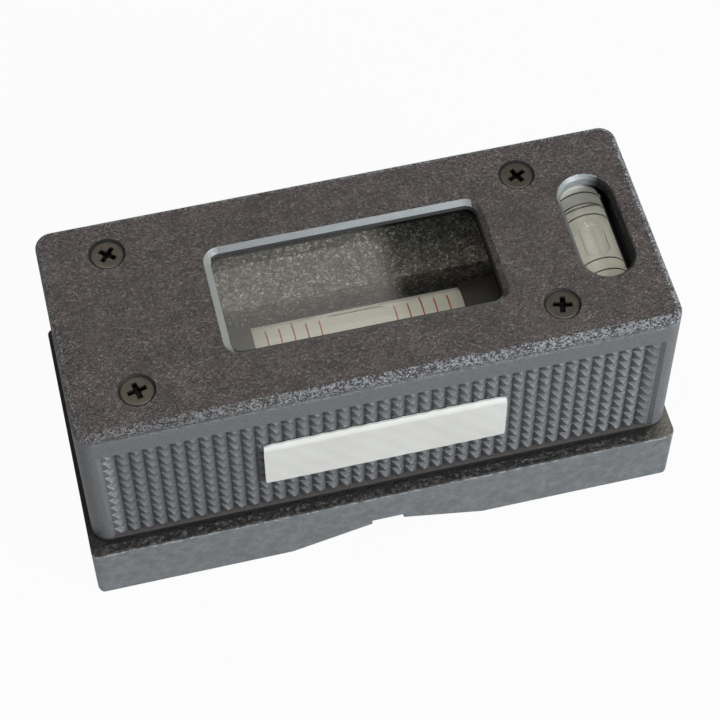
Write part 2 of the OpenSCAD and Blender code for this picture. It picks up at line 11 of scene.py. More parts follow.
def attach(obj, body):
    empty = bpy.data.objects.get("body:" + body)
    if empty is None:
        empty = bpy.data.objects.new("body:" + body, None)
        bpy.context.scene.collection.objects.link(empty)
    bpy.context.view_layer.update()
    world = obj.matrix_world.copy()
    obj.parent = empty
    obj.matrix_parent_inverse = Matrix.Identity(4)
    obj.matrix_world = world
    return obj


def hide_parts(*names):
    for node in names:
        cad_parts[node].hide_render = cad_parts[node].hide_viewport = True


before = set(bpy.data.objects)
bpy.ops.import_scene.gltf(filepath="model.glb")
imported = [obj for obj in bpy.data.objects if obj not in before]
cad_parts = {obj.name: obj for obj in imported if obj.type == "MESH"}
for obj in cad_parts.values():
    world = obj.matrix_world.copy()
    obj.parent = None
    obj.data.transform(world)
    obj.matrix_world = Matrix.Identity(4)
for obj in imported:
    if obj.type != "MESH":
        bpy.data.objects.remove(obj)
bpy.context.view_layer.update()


# Base casting.
# A block of grey cast iron. Sole, prism, side and end faces are ground bright; the ledge round the hood and the
# bed inside it are left as cast, blacked and rough. The ground face meets the rough ledge in a nicked edge.
BASE_HALF_L, BASE_HALF_W, BASE_H, BASE_CORNER = 54.0, 25.0, 14.0, 1.2
BED_HALF_L, BED_HALF_W, BED_TOP = 49.6, 18.6, 33.0
CHANNEL_X0, CHANNEL_X1, CHANNEL_HALF_W, CHANNEL_FLOOR = -34.3, 37.9, 7.0, 19.1
GROOVE_HALF_W, GROOVE_TOP, PRISM_HALF_W, PRISM_TOP, SOLE_CHAMFER = 3.0, 5.12, 18.0, 4.02, 0.55
LEDGE_INNER_Y = 21.0


def add_piece(name, points, faces, body, slot, crease=35):
    """One object from points in millimetres and faces of three or four corners. Edges sharper than crease stay hard."""
    mesh = bpy.data.meshes.new(name)
    mesh.from_pydata((np.asarray(points) * 0.001).tolist(), [], [tuple(int(k) for k in f) for f in faces])
    work = bmesh.new()
    work.from_mesh(mesh)
    bmesh.ops.remove_doubles(work, verts=work.verts, dist=1e-6)
    bmesh.ops.recalc_face_normals(work, faces=work.faces)
    work.to_mesh(mesh)
    work.free()
    mesh.shade_smooth()
    mesh.set_sharp_from_angle(angle=math.radians(crease))
    piece = bpy.data.objects.new(name, mesh)
    bpy.context.scene.collection.objects.link(piece)
    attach(piece, body)
    return piece


def grid_faces(rows, columns, wrap=False, first=0):
    """Quads of a grid numbered row by row from first; wrap joins each row's last point to its first."""
    i = np.arange(rows - 1)[:, None]
    j = np.arange(columns if wrap else columns - 1)[None, :]
    a = first + i * columns + j
    b = first + i * columns + (j + 1) % columns
    return np.stack([a, b, b + columns, a + columns], axis=-1).reshape(-1, 4)


def smooth_noise(x, seed, spacing):
    """Random heights from -1 to 1, one every spacing along x, joined by straight lines."""
    table = np.random.default_rng(seed).uniform(-1, 1, 4096)
    place = np.asarray(x) / spacing + 2048
    k = np.floor(place).astype(int)
    return table[k] * (1 - (place - k)) + table[k + 1] * (place - k)


def base_casting():
    """Closed sections in YZ carried along X. Each section runs from the middle of the sole out to the chamfer, up the
    side, over the nicked edge, in along the ledge, up the bed, along its top and down the channel; the other half is
    its mirror. Steps along X, such as the ends of the bed, are two sections a hair apart."""
    hair = 1e-4
    corner = BASE_HALF_L - BASE_CORNER + BASE_CORNER * np.sin(np.radians(np.linspace(0, 90, 12)))
    chamfer = BASE_HALF_L - SOLE_CHAMFER
    steps = np.array([GROOVE_HALF_W, PRISM_HALF_W, BED_HALF_L, -CHANNEL_X0, CHANNEL_X1])
    x = np.concatenate([np.arange(-52.5, 52.6, 0.5), corner, -corner, [chamfer, -chamfer],
                        steps - hair, steps + hair, -steps - hair, -steps + hair])
    x = np.unique(np.round(x, 5))
    inner = np.sqrt(np.maximum(BASE_CORNER ** 2 - np.maximum(np.abs(x) - BASE_HALF_L + BASE_CORNER, 0) ** 2, 0))
    half_w = BASE_HALF_W - BASE_CORNER + inner
    sole = np.interp(np.abs(x), [0, GROOVE_HALF_W - hair, GROOVE_HALF_W + hair, PRISM_HALF_W, chamfer, BASE_HALF_L],
                     [GROOVE_TOP, GROOVE_TOP, PRISM_TOP, 0, 0, SOLE_CHAMFER])
    bed = np.where(np.abs(x) <= BED_HALF_L, BED_TOP, BASE_H)
    floor = np.where((x >= CHANNEL_X0) & (x <= CHANNEL_X1), CHANNEL_FLOOR, bed)
    sections = []
    for side in (-1, 1):
        nick = np.maximum(smooth_noise(x, 11 + side, 1.3), 0) ** 2 * 0.3 + np.abs(smooth_noise(x, 5 + side, 0.5)) * 0.12
        rough = [smooth_noise(x, 20 + 7 * k + side, 0.9) * 0.07 for k in range(6)]
        edge_z = BASE_H - 0.1 - nick * 0.7
        y = [half_w * 0, half_w * 0.5, half_w - SOLE_CHAMFER, half_w]
        z = [sole, sole, sole, sole + SOLE_CHAMFER]
        for t in (0.25, 0.5, 0.75, 0.9):
            y.append(half_w)
            z.append(sole + SOLE_CHAMFER + (edge_z - sole - SOLE_CHAMFER) * t)
        y += [half_w, half_w - 0.12 - nick * 0.6]
        z += [edge_z, BASE_H - 0.02 + rough[0] * 0.3]
        for k, step in enumerate((0.7, 1.3, 1.9, 2.4)):
            y.append(half_w - step)
            z.append(BASE_H - 0.05 + rough[k + 1])
        y += [np.minimum(half_w - 3.2, LEDGE_INNER_Y), x * 0 + BED_HALF_W, x * 0 + BED_HALF_W]
        z += [x * 0 + BASE_H, x * 0 + BASE_H, bed]
        for t in (0.75, 0.5, 0.25):
            y.append(x * 0 + CHANNEL_HALF_W + (BED_HALF_W - CHANNEL_HALF_W) * t)
            z.append(bed)
        y += [x * 0 + CHANNEL_HALF_W, x * 0 + CHANNEL_HALF_W, x * 0]
        z += [bed, floor, floor]
        sections.append((side * np.array(y), np.array(z)))
    y = np.concatenate([sections[0][0], sections[1][0][-2:0:-1]]).T
    z = np.concatenate([sections[0][1], sections[1][1][-2:0:-1]]).T
    points = np.stack([np.repeat(x[:, None], y.shape[1], axis=1), y, z], axis=-1).reshape(-1, 3)
    count = y.shape[1]
    caps = [list(range(count)), list(range(len(points) - count, len(points)))]
    return points, list(grid_faces(len(x), count, wrap=True)) + caps


def new_material(name, color, roughness, metallic=0.0, **sockets):
    """Material with one Principled shader; sockets are its other constants. Returns the material, its tree and
    the shader."""
    material = bpy.data.materials.new(name)
    material.use_nodes = True
    shader = material.node_tree.nodes["Principled BSDF"]
    shader.inputs["Base Color"].default_value = (*color, 1)
    shader.inputs["Roughness"].default_value = roughness
    shader.inputs["Metallic"].default_value = metallic
    for socket, value in sockets.items():
        shader.inputs[socket.replace("_", " ")].default_value = value
    return material, material.node_tree, shader


def add_node(tree, kind, sockets=None, **settings):
    """Node of that kind with its settings; sockets maps an input's name or number to a value or to a socket."""
    node = tree.nodes.new(kind)
    for key, value in settings.items():
        setattr(node, key, value)
    for key, value in (sockets or {}).items():
        if isinstance(value, bpy.types.NodeSocket):
            tree.links.new(value, node.inputs[key])
        else:
            node.inputs[key].default_value = value
    return node


def add_ramp(tree, factor, stops):
    """Colour ramp: stops are (place, colour or grey)."""
    ramp = add_node(tree, "ShaderNodeValToRGB", {"Fac": factor})
    while len(ramp.color_ramp.elements) < len(stops):
        ramp.color_ramp.elements.new(0.5)
    for element, (place, color) in zip(ramp.color_ramp.elements, stops):
        element.position = place
        element.color = (*color, 1) if isinstance(color, tuple) else (color, color, color, 1)
    return ramp.outputs["Color"]


def add_mix(tree, factor, a, b, blend="MIX"):
    """Colour a turned into colour b by factor."""
    mix = add_node(tree, "ShaderNodeMix", data_type="RGBA", blend_type=blend)
    for socket, value in ((mix.inputs[0], factor), (mix.inputs[6], a), (mix.inputs[7], b)):
        if isinstance(value, bpy.types.NodeSocket):
            tree.links.new(value, socket)
        else:
            socket.default_value = (*value, 1) if isinstance(value, tuple) else value
    return mix.outputs[2]


def add_math(tree, operation, a, b=0.0):
    """Result of one sum on two values or sockets."""
    return add_node(tree, "ShaderNodeMath", {0: a, 1: b}, operation=operation).outputs[0]


def climb(tree, value, low, high):
    """0 below low, 1 above high and even between them."""
    return add_node(tree, "ShaderNodeMapRange", {"Value": value, "From Min": low, "From Max": high}).outputs[0]


def within(tree, value, low, high):
    """1 between low and high, else 0."""
    return add_node(tree, "ShaderNodeMath", {0: value, 1: (low + high) / 2, 2: (high - low) / 2},
                    operation="COMPARE").outputs[0]


def grit_group():
    """Shader group shared by the cast, moulded and metal finishes. Speckle averages a fine noise with a chance value
    per cell, Blotch is a wide noise, and Height adds domes of chance height to the fine noise. Scale is in specks to
    the metre."""
    tree = bpy.data.node_groups.new("grit", "ShaderNodeTree")
    for name, kind, value in (("Vector", "NodeSocketVector", None), ("Scale", "NodeSocketFloat", 1500.0),
                              ("Blotch Scale", "NodeSocketFloat", 120.0)):
        socket = tree.interface.new_socket(name, in_out="INPUT", socket_type=kind)
        if value is not None:
            socket.default_value = value
    for name in ("Speckle", "Blotch", "Height"):
        tree.interface.new_socket(name, in_out="OUTPUT", socket_type="NodeSocketFloat")
    put, take = tree.nodes.new("NodeGroupInput"), tree.nodes.new("NodeGroupOutput")
    fine = add_node(tree, "ShaderNodeTexNoise", {"Vector": put.outputs[0], "Scale": put.outputs[1], "Detail": 3.0,
                                                 "Roughness": 0.65})
    cells = add_node(tree, "ShaderNodeTexVoronoi", {"Vector": put.outputs[0], "Scale": put.outputs[1]})
    wide = add_node(tree, "ShaderNodeTexNoise", {"Vector": put.outputs[0], "Scale": put.outputs[2], "Detail": 4.0,
                                                 "Roughness": 0.6})
    chance = add_node(tree, "ShaderNodeSeparateColor", {0: cells.outputs["Color"]}).outputs[0]
    domes = add_math(tree, "MULTIPLY", add_math(tree, "SUBTRACT", 1.0, cells.outputs["Distance"]), chance)
    speckle = add_math(tree, "MULTIPLY", add_math(tree, "ADD", fine.outputs[0], chance), 0.5)
    height = add_math(tree, "ADD", domes, fine.outputs[0])
    tree.links.new(speckle, take.inputs[0])
    tree.links.new(wide.outputs[0], take.inputs[1])
    tree.links.new(height, take.inputs[2])
    return tree


GRIT = grit_group()


def add_grit(tree, scale, blotch_scale):
    """The grit group on Object coordinates, with the coordinates' node as well."""
    place = add_node(tree, "ShaderNodeTexCoord").outputs["Object"]
    grit = add_node(tree, "ShaderNodeGroup", node_tree=GRIT)
    tree.links.new(place, grit.inputs[0])
    grit.inputs[1].default_value = scale
    grit.inputs[2].default_value = blotch_scale
    return grit, place


def axes_in_mm(tree, place):
    """X, Y and Z of the Object coordinates, in millimetres."""
    scaled = add_node(tree, "ShaderNodeVectorMath", {0: place, "Scale": 1000.0}, operation="SCALE")
    axes = add_node(tree, "ShaderNodeSeparateXYZ", {0: scaled.outputs[0]})
    return [axes.outputs[name] for name in "XYZ"]


def add_bump(tree, shader, height, depth, strength=1.0):
    """Bump of that depth in metres into the shader's normal."""
    bump = add_node(tree, "ShaderNodeBump", {"Height": height, "Strength": strength, "Distance": depth})
    tree.links.new(bump.outputs[0], shader.inputs["Normal"])


def cast_iron():
    """Ground grey metal below the ledge's level and blacked, rough casting above it. The change follows height, plus
    a noise, so that the edge between the two is ragged. Bright specks near that edge are partly nicked metal and partly
    painted glints. The ledge is painted black close to the hood as the shade of the gap under it, and painted paler
    at its right end as light falling there; the bed carries pale dust, one tone to a grain."""
    material, tree, shader = new_material("cast_base", (0.2, 0.2, 0.2), 0.5, 0.6)
    grit, place = add_grit(tree, 1700.0, 620.0)
    x, y, z = axes_in_mm(tree, place)
    level = add_math(tree, "ADD", z, add_math(tree, "MULTIPLY", grit.outputs["Blotch"], 0.6))
    cast = climb(tree, level, BASE_H - 0.15, BASE_H + 0.08)

    drawn = add_node(tree, "ShaderNodeMapping", {"Vector": place, "Scale": (0.4, 1.0, 1.0)})
    lines = add_node(tree, "ShaderNodeTexNoise", {"Vector": drawn.outputs[0], "Scale": 2600.0, "Detail": 3.0})
    ground = add_mix(tree, lines.outputs[0], (0.17, 0.184, 0.195), (0.385, 0.40, 0.405))
    patches = add_ramp(tree, grit.outputs["Blotch"], [(0.38, 0.0), (0.62, 0.6)])
    ground = add_mix(tree, patches, ground, (0.165, 0.179, 0.193))
    near_edge = climb(tree, level, BASE_H - 0.8, BASE_H - 0.3)
    # Bright specks near the ground edge: partly nicked metal, partly painted glints.
    wear_and_glints = add_ramp(tree, grit.outputs["Speckle"], [(0.45, 0.0), (0.62, 0.8)])
    ground = add_mix(tree, add_math(tree, "MULTIPLY", near_edge, wear_and_glints), ground, (0.62, 0.64, 0.64))

    skin = add_ramp(tree, grit.outputs["Speckle"], [(0.34, (0.003, 0.004, 0.004)), (0.52, (0.020, 0.018, 0.017)),
                                                    (0.66, (0.052, 0.044, 0.040)), (0.80, (0.11, 0.10, 0.092))])
    # Painted shade: the ledge goes black next to the hood, in the shadow of the gap under its foot.
    hood_shadow_fade = climb(tree, add_math(tree, "ABSOLUTE", y), 23.1, 23.5)
    skin = add_mix(tree, hood_shadow_fade, (0.003, 0.003, 0.003), skin)
    # Painted light: the ledge's right end is made paler, as lit there.
    skin = add_mix(tree, climb(tree, x, 49.0, 53.2), skin, (0.15, 0.142, 0.115))
    bed = add_math(tree, "GREATER_THAN", z, BASE_H + 4.0)
    grain = add_node(tree, "ShaderNodeTexVoronoi", {"Vector": place, "Scale": 3000.0})
    chance = add_node(tree, "ShaderNodeSeparateColor", {0: grain.outputs["Color"]}).outputs[0]
    dust = add_ramp(tree, chance, [(0.30, (0.058, 0.051, 0.040)), (0.62, (0.145, 0.127, 0.100)),
                                   (0.92, (0.23, 0.212, 0.175)), (0.99, (0.46, 0.44, 0.40))])
    cloud = add_ramp(tree, grit.outputs["Blotch"], [(0.35, 0.55), (0.62, 1.25)])
    skin = add_mix(tree, bed, skin, add_mix(tree, 1.0, dust, cloud, "MULTIPLY"))

    tree.links.new(add_mix(tree, cast, ground, skin), shader.inputs["Base Color"])
    tree.links.new(add_math(tree, "SUBTRACT", 0.7, add_math(tree, "MULTIPLY", cast, 0.6)), shader.inputs["Metallic"])
    tree.links.new(add_math(tree, "ADD", 0.42, add_math(tree, "MULTIPLY", cast, 0.25)), shader.inputs["Roughness"])
    scratches = add_math(tree, "MULTIPLY", lines.outputs[0], 0.06)
    domes = add_math(tree, "MULTIPLY", add_math(tree, "SUBTRACT", 0.3, grain.outputs["Distance"]), 0.25)
    rough = add_node(tree, "ShaderNodeMix", {0: bed, 2: grit.outputs["Height"], 3: domes}, data_type="FLOAT")
    rough = add_math(tree, "MULTIPLY", rough.outputs[0], add_math(tree, "ADD", cast, 0.03))
    add_bump(tree, shader, add_math(tree, "ADD", scratches, rough), 0.00022, 0.8)
    return material


base = add_piece("base_casting", *base_casting(), "root", "cast_base", crease=28)
base.data.materials.append(cast_iron())
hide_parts("base_body")


# Foot seal and pane seal.
# Flat gaskets cut from black rubber sheet. The first lies between the hood's foot and the ledge and shows as the
# dark line there; the second lies between the pane and the top.
def seal_rubber():
    """Matt black with a dusty bloom."""
    material, tree, shader = new_material("seal_rubber", (0.012, 0.012, 0.012), 0.8)
    grit, _ = add_grit(tree, 2500.0, 300.0)
    bloom = add_mix(tree, add_math(tree, "MULTIPLY", grit.outputs["Speckle"], 0.3), (0.006, 0.006, 0.006),
                    (0.05, 0.05, 0.048))
    tree.links.new(bloom, shader.inputs["Base Color"])
    add_bump(tree, shader, grit.outputs["Height"], 0.00003)
    return material


def dress(material, *names):
    """Gives CAD nodes their material."""
    for name in names:
        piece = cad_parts[name]
        piece.data.materials.clear()
        piece.data.materials.append(material)


dress(seal_rubber(), "foot_seal", "pane_seal")


# Hood.
# One moulding in black-grey plastic, its top eroded to a dull grain and its sides satin. Each long wall carries
# a field of 41 by 11 four-sided points whose tips lie in the wall's own face. Four screws hold it to the bed.
FOOT_Z, TOP_Z, CEILING_Z = 14.4, 48.0, 45.8
HOOD_HALF_L, HOOD_FOOT_HALF_W, HOOD_TOP_HALF_W, HOOD_CORNER, HOOD_EDGE = 53.0, 22.7, 22.0, 3.0, 1.5
CAVITY_HALF_L, CAVITY_HALF_W = 50.0, 19.0
GRIP_PITCH, GRIP_COLUMNS, GRIP_ROWS, GRIP_DEPTH, GRIP_TOP, GRIP_RUN_OUT = 2.4, 41, 11, 1.0, 41.5, 0.45
WINDOW = (23.8, 10.2, 1.8, 1.3)
SLOT = (4.5, 10.85, 4.49, 0.7)
SLOT_X, SLOT_Y = 43.6, 0.4
SCREW_LEFT_X, SCREW_RIGHT_X, SCREW_Y = -41.0, 33.0, 14.45
SCREW_PLACES = [(x, y) for x in (SCREW_LEFT_X, SCREW_RIGHT_X) for y in (-SCREW_Y, SCREW_Y)]
SINK_R, BORE_R, POST_R, POST_FOOT = 3.25, 1.6, 3.6, 33.1
CORNER_POINTS = 11


def outline(half_l, half_w, radius, x=0.0, y=0.0):
    """Closed plan of a rectangle whose corners are quarter circles, from the right end anticlockwise."""
    turns = np.radians(np.concatenate([np.linspace(90 * k, 90 * k + 90, CORNER_POINTS) for k in range(4)]))
    corner = np.repeat(np.array([[1, 1], [-1, 1], [-1, -1], [1, -1]]), CORNER_POINTS, axis=0)
    middle = corner * [half_l - radius, half_w - radius] + [x, y]
    return middle + radius * np.stack([np.cos(turns), np.sin(turns)], axis=-1)


def circle(radius, x, y, steps=40):
    """Closed circle about x, y."""
    turns = np.linspace(0, 2 * np.pi, steps, endpoint=False)
    return np.stack([x + radius * np.cos(turns), y + radius * np.sin(turns)], axis=-1)


def inside(points, loop):
    """Which points lie in a closed loop: those from which a ray crosses it an odd number of times."""
    (x, y), (x0, y0) = points.T, loop.T
    x1, y1 = np.roll(x0, -1), np.roll(y0, -1)
    spans = (y0[None] > y[:, None]) != (y1[None] > y[:, None])
    crossing = x0 + (y[:, None] - y0) * (x1 - x0) / np.where(y1 == y0, 1e-9, y1 - y0)
    return (spans & (x[:, None] < crossing)).sum(axis=1) % 2 == 1


def flat_fill(loops, z):
    """Flat face at height z within the first loop and outside the others, as Delaunay triangles."""
    points = np.concatenate(loops)
    starts = np.cumsum([0] + [len(loop) for loop in loops])
    edges = [(int(s + k), int(s + (k + 1) % n)) for s, n in zip(starts, map(len, loops)) for k in range(n)]
    flat, _, faces, _, _, _ = delaunay_2d_cdt([Vector(p) for p in points], edges, [], 0, 1e-6)
    flat, faces = np.array([tuple(p) for p in flat]), np.array(faces)
    middle = flat[faces].mean(axis=1)
    keep = inside(middle, loops[0])
    for loop in loops[1:]:
        keep &= ~inside(middle, loop)
    return np.column_stack([flat, np.full(len(flat), z)]), faces[keep]


def wall(levels):
    """Strips between closed loops of equal count; levels are (loop, height) pairs."""
    points = np.concatenate([np.column_stack([loop, np.full(len(loop), z)]) for loop, z in levels])
    return points, grid_faces(len(levels), len(levels[0][0]), wrap=True)


def joined(parts):
    """One list of points and one of faces from several."""
    points, faces, count = [], [], 0
    for part_points, part_faces in parts:
        points.append(part_points)
        faces += [tuple(int(k) + count for k in face) for face in part_faces]
        count += len(part_points)
    return np.concatenate(points), faces


def hood_half_w(z):
    """Half width of the hood at height z: the long walls lean in evenly from foot to top."""
    return HOOD_FOOT_HALF_W + (HOOD_TOP_HALF_W - HOOD_FOOT_HALF_W) * (z - FOOT_Z) / (TOP_Z - FOOT_Z)


def grip_wall(side):
    """Long wall between its corners, on a grid of half the pitch. A point in the middle of a pyramid keeps the wall's
    face and its eight neighbours stand a valley's depth behind it; every quad is split from the tip outwards. The
    field's end columns slope up to the corners, and its first and last rows of points are doubled, once in the face
    and once at the valley's depth."""
    columns = np.linspace(-1, 1, 2 * GRIP_COLUMNS + 1) * GRIP_COLUMNS * GRIP_PITCH / 2
    rows = GRIP_TOP - GRIP_ROWS * GRIP_PITCH + np.arange(2 * GRIP_ROWS + 1) * GRIP_PITCH / 2
    end = HOOD_HALF_L - HOOD_CORNER
    x = np.concatenate([[-end], columns, [end]])
    z = np.concatenate([[FOOT_Z, rows[0]], rows, [GRIP_TOP, TOP_Z - HOOD_EDGE]])
    depth = np.zeros((len(z), len(x)))
    depth[2:-2, 1:-1] = GRIP_DEPTH
    depth[3:-2:2, 2:-1:2] = 0
    depth[2:-2, [1, -2]] = GRIP_RUN_OUT
    gx, gz = np.meshgrid(x, z)
    points = np.stack([gx, side * (hood_half_w(gz) - depth), gz], axis=-1).reshape(-1, 3)
    quads = grid_faces(len(z), len(x))
    r, c = np.divmod(quads[:, 0], len(x))
    rising = (r + c) % 2 == 1
    a, b, d, e = quads.T
    first = np.where(rising[:, None], np.stack([a, b, d], 1), np.stack([a, b, e], 1))
    second = np.where(rising[:, None], np.stack([a, d, e], 1), np.stack([b, d, e], 1))
    return points, np.concatenate([first, second])


def hood():
    """Outside: walls up to the edge, then a quarter circle swept round the plan. The two wall quads that join corner
    to corner along the level give way to the grip walls. Top and ceiling: flat faces round the openings. Each
    opening: a chamfer at 45 degrees over a straight wall. Posts: tubes from the ceiling to the bed."""
    parts = [grip_wall(-1), grip_wall(1)]
    low = outline(HOOD_HALF_L, HOOD_FOOT_HALF_W, HOOD_CORNER)
    shoulder = TOP_Z - HOOD_EDGE
    high = outline(HOOD_HALF_L, hood_half_w(shoulder), HOOD_CORNER)
    points, faces = wall([(low, FOOT_Z), (high, shoulder)])
    long_side = np.isin(faces[:, 0], [CORNER_POINTS - 1, 3 * CORNER_POINTS - 1])
    parts.append((points, faces[~long_side]))
    levels = []
    for turn in np.radians(np.linspace(0, 90, 9)):
        inset = HOOD_EDGE * (1 - math.cos(turn))
        levels.append((outline(HOOD_HALF_L - inset, hood_half_w(shoulder) - inset, HOOD_CORNER - inset),
                       shoulder + HOOD_EDGE * math.sin(turn)))
    parts.append(wall(levels))
    window_l, window_w, window_r, window_c = WINDOW
    slot_l, slot_w, slot_r, slot_c = SLOT
    window_top = outline(window_l + window_c, window_w + window_c, window_r + window_c)
    window_low = outline(window_l, window_w, window_r)
    slot_top = outline(slot_l + slot_c, slot_w + slot_c, slot_r + slot_c, SLOT_X, SLOT_Y)
    slot_low = outline(slot_l, slot_w, slot_r, SLOT_X, SLOT_Y)
    sinks = [circle(SINK_R, *place) for place in SCREW_PLACES]
    bores = [circle(BORE_R, *place) for place in SCREW_PLACES]
    posts = [circle(POST_R, *place) for place in SCREW_PLACES]
    cavity = outline(CAVITY_HALF_L, CAVITY_HALF_W, 1.0)
    parts.append(flat_fill([levels[-1][0], window_top, slot_top] + sinks, TOP_Z))
    parts.append(flat_fill([cavity, window_low, slot_low] + posts, CEILING_Z))
    parts.append(wall([(window_top, TOP_Z), (window_low, TOP_Z - window_c), (window_low, CEILING_Z)]))
    parts.append(wall([(slot_top, TOP_Z), (slot_low, TOP_Z - slot_c), (slot_low, CEILING_Z)]))
    for sink, bore, post in zip(sinks, bores, posts):
        parts.append(wall([(sink, TOP_Z), (bore, TOP_Z - SINK_R + BORE_R), (bore, POST_FOOT), (post, POST_FOOT),
                           (post, CEILING_Z)]))
    parts.append(wall([(cavity, CEILING_Z), (cavity, FOOT_Z)]))
    parts.append(flat_fill([low, cavity], FOOT_Z))
    return joined(parts)


def hood_plastic():
    """Brown-grey eroded grain on the top, with bright specks painted as glints where it rounds over the edge; satin
    blue-grey sides, painted darker between the points as shade and lighter just behind their tips, and darker at the
    foot as shade; lips round the openings painted pale as highlights, with painted black shade below them and on the
    slot's right side; painted black shade round the screws and in the gap at the foot."""
    material, tree, shader = new_material("hood_plastic", (0.1, 0.09, 0.085), 0.5)
    grit, place = add_grit(tree, 3300.0, 240.0)
    speckle, blotch = grit.outputs["Speckle"], grit.outputs["Blotch"]
    x, y, z = axes_in_mm(tree, place)
    out = add_math(tree, "ABSOLUTE", y)

    # Where: the edge with painted glints, the openings and their lips, the grained top and the screws' countersinks.
    ragged = add_math(tree, "ADD", z, add_math(tree, "MULTIPLY", blotch, 0.5))
    below_top = add_math(tree, "LESS_THAN", z, TOP_Z - 0.03)
    among = add_math(tree, "MULTIPLY", within(tree, x, -49.5, 49.5), add_math(tree, "LESS_THAN", out, 13.0))
    edge = add_math(tree, "MULTIPLY", climb(tree, ragged, 45.2, 46.8), below_top)
    edge = add_math(tree, "MULTIPLY", edge, add_math(tree, "SUBTRACT", 1.0, among))
    opening = add_math(tree, "MULTIPLY", among, below_top)
    right_lips = add_math(tree, "MAXIMUM", within(tree, x, 23.6, 27.0), within(tree, x, 46.8, 49.5))
    lip = add_math(tree, "MULTIPLY", opening, add_math(tree, "SUBTRACT", 1.0, right_lips))
    grain = add_math(tree, "MULTIPLY", climb(tree, ragged, 46.1, 46.9), add_math(tree, "SUBTRACT", 1.0, lip))
    from_middle = add_math(tree, "ABSOLUTE", add_math(tree, "SUBTRACT", x, (SCREW_LEFT_X + SCREW_RIGHT_X) / 2))
    off_x = add_math(tree, "SUBTRACT", from_middle, (SCREW_RIGHT_X - SCREW_LEFT_X) / 2)
    off_y = add_math(tree, "SUBTRACT", out, SCREW_Y)
    reach = add_math(tree, "ADD", add_math(tree, "MULTIPLY", off_x, off_x), add_math(tree, "MULTIPLY", off_y, off_y))
    sink = add_math(tree, "LESS_THAN", reach, (SINK_R + 0.02) ** 2)

    # Top: the grain's tones, and bright specks painted as glints on its edge, which thin out to the left.
    tone = add_ramp(tree, speckle, [(0.27, (0.051, 0.040, 0.037)), (0.50, (0.100, 0.082, 0.077)),
                                    (0.67, (0.150, 0.130, 0.123)), (0.85, (0.32, 0.30, 0.285))])
    tone = add_mix(tree, 1.0, tone, add_ramp(tree, blotch, [(0.35, 0.82), (0.65, 1.14)]), "MULTIPLY")
    glint_fade = add_ramp(tree, climb(tree, x, -52.0, 10.0), [(0.0, 0.35), (1.0, 1.0)])
    wear_and_glints = add_math(tree, "MULTIPLY", add_ramp(tree, speckle, [(0.40, 0.0), (0.74, 0.95)]), glint_fade)

    # Sides: painted shade by depth behind the wall's face, lighter just behind the tips, and a band at the foot painted
    # darker as shade.
    side = add_mix(tree, speckle, (0.082, 0.083, 0.088), (0.148, 0.152, 0.158))
    lean = (HOOD_FOOT_HALF_W - HOOD_TOP_HALF_W) / (TOP_Z - FOOT_Z)
    half_w = add_math(tree, "SUBTRACT", hood_half_w(0.0), add_math(tree, "MULTIPLY", z, lean))
    sunk = climb(tree, add_math(tree, "SUBTRACT", half_w, out), 0.0, GRIP_DEPTH)
    field = add_math(tree, "MULTIPLY", within(tree, x, -48.4, 48.4), add_math(tree, "GREATER_THAN", out, 20.6))
    # Painted shade deep between the points, and painted light just behind their tips.
    dirt_and_shade = add_ramp(tree, add_math(tree, "MULTIPLY", sunk, field),
                    [(0.0, 1.06), (0.12, 1.26), (0.5, 1.0), (1.0, 0.42)])
    side = add_mix(tree, 1.0, side, dirt_and_shade, "MULTIPLY")
    # Band at the foot painted darker as shade.
    side = add_mix(tree, climb(tree, z, 15.0, 15.8), (0.080, 0.068, 0.064), side)

    # Openings: lips painted pale as highlights, paler to the right and at the slot's back end,
    # and painted black shade where the pane and the slot's right side begin.
    pale = add_mix(tree, climb(tree, x, -23.6, 23.6), (0.160, 0.171, 0.176), (0.25, 0.27, 0.275))
    pale = add_mix(tree, add_math(tree, "LESS_THAN", x, -23.6), pale, (0.25, 0.256, 0.24))
    slot_end = add_mix(tree, climb(tree, y, 6.0, 9.5), (0.110, 0.116, 0.116), (0.235, 0.255, 0.26))
    pale = add_mix(tree, add_math(tree, "GREATER_THAN", x, 34.0), pale, slot_end)
    # Painted black shade on the window's wall under its chamfer and on the slot's right side.
    window_wall_shade = add_math(tree, "MULTIPLY", within(tree, x, -23.6, 27.0), add_math(tree, "LESS_THAN", z, 47.08))
    slot_side_shade = add_math(tree, "MULTIPLY", climb(tree, x, 44.9, 46.8), add_math(tree, "LESS_THAN", z, 47.75))
    black = add_math(tree, "MULTIPLY", add_math(tree, "MAXIMUM", window_wall_shade, slot_side_shade), opening)
    # Painted black shade in the gap at the foot and in the screws' countersinks.
    black = add_math(tree, "MAXIMUM", black, add_math(tree, "LESS_THAN", z, 15.05))
    black = add_math(tree, "MAXIMUM", black, sink)

    color = add_mix(tree, grain, add_mix(tree, lip, side, pale), tone)
    # Bright specks on the rounded edge, painted as glints.
    color = add_mix(tree, add_math(tree, "MULTIPLY", edge, wear_and_glints), color, (0.43, 0.48, 0.52))
    color = add_mix(tree, black, color, (0.005, 0.005, 0.005))
    tree.links.new(color, shader.inputs["Base Color"])
    smooth = add_math(tree, "MULTIPLY", add_math(tree, "MAXIMUM", lip, edge), 0.09)
    rough = add_math(tree, "ADD", 0.34, add_math(tree, "MULTIPLY", black, 0.45))
    tree.links.new(add_math(tree, "SUBTRACT", rough, smooth), shader.inputs["Roughness"])
    relief = add_math(tree, "MULTIPLY", grit.outputs["Height"], add_math(tree, "ADD", grain, 0.10))
    add_bump(tree, shader, relief, 0.0005)
    return material


hood_piece = add_piece("hood_moulding", *hood(), "root", "hood_plastic", crease=20)
hood_piece.data.materials.append(hood_plastic())
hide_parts("housing")


# Hood screws.
# Four M3 countersunk steel screws with cross recesses, browned, their rims rubbed bright. Each stands at its
# own turn, a little under the top.
SCREW_R, HEAD_R, SCREW_L, HEAD_Z, RECESS_DEPTH = 1.5, 2.95, 20.0, 47.85, 1.2
SCREW_TURNS = (12, 50, 75, 25)


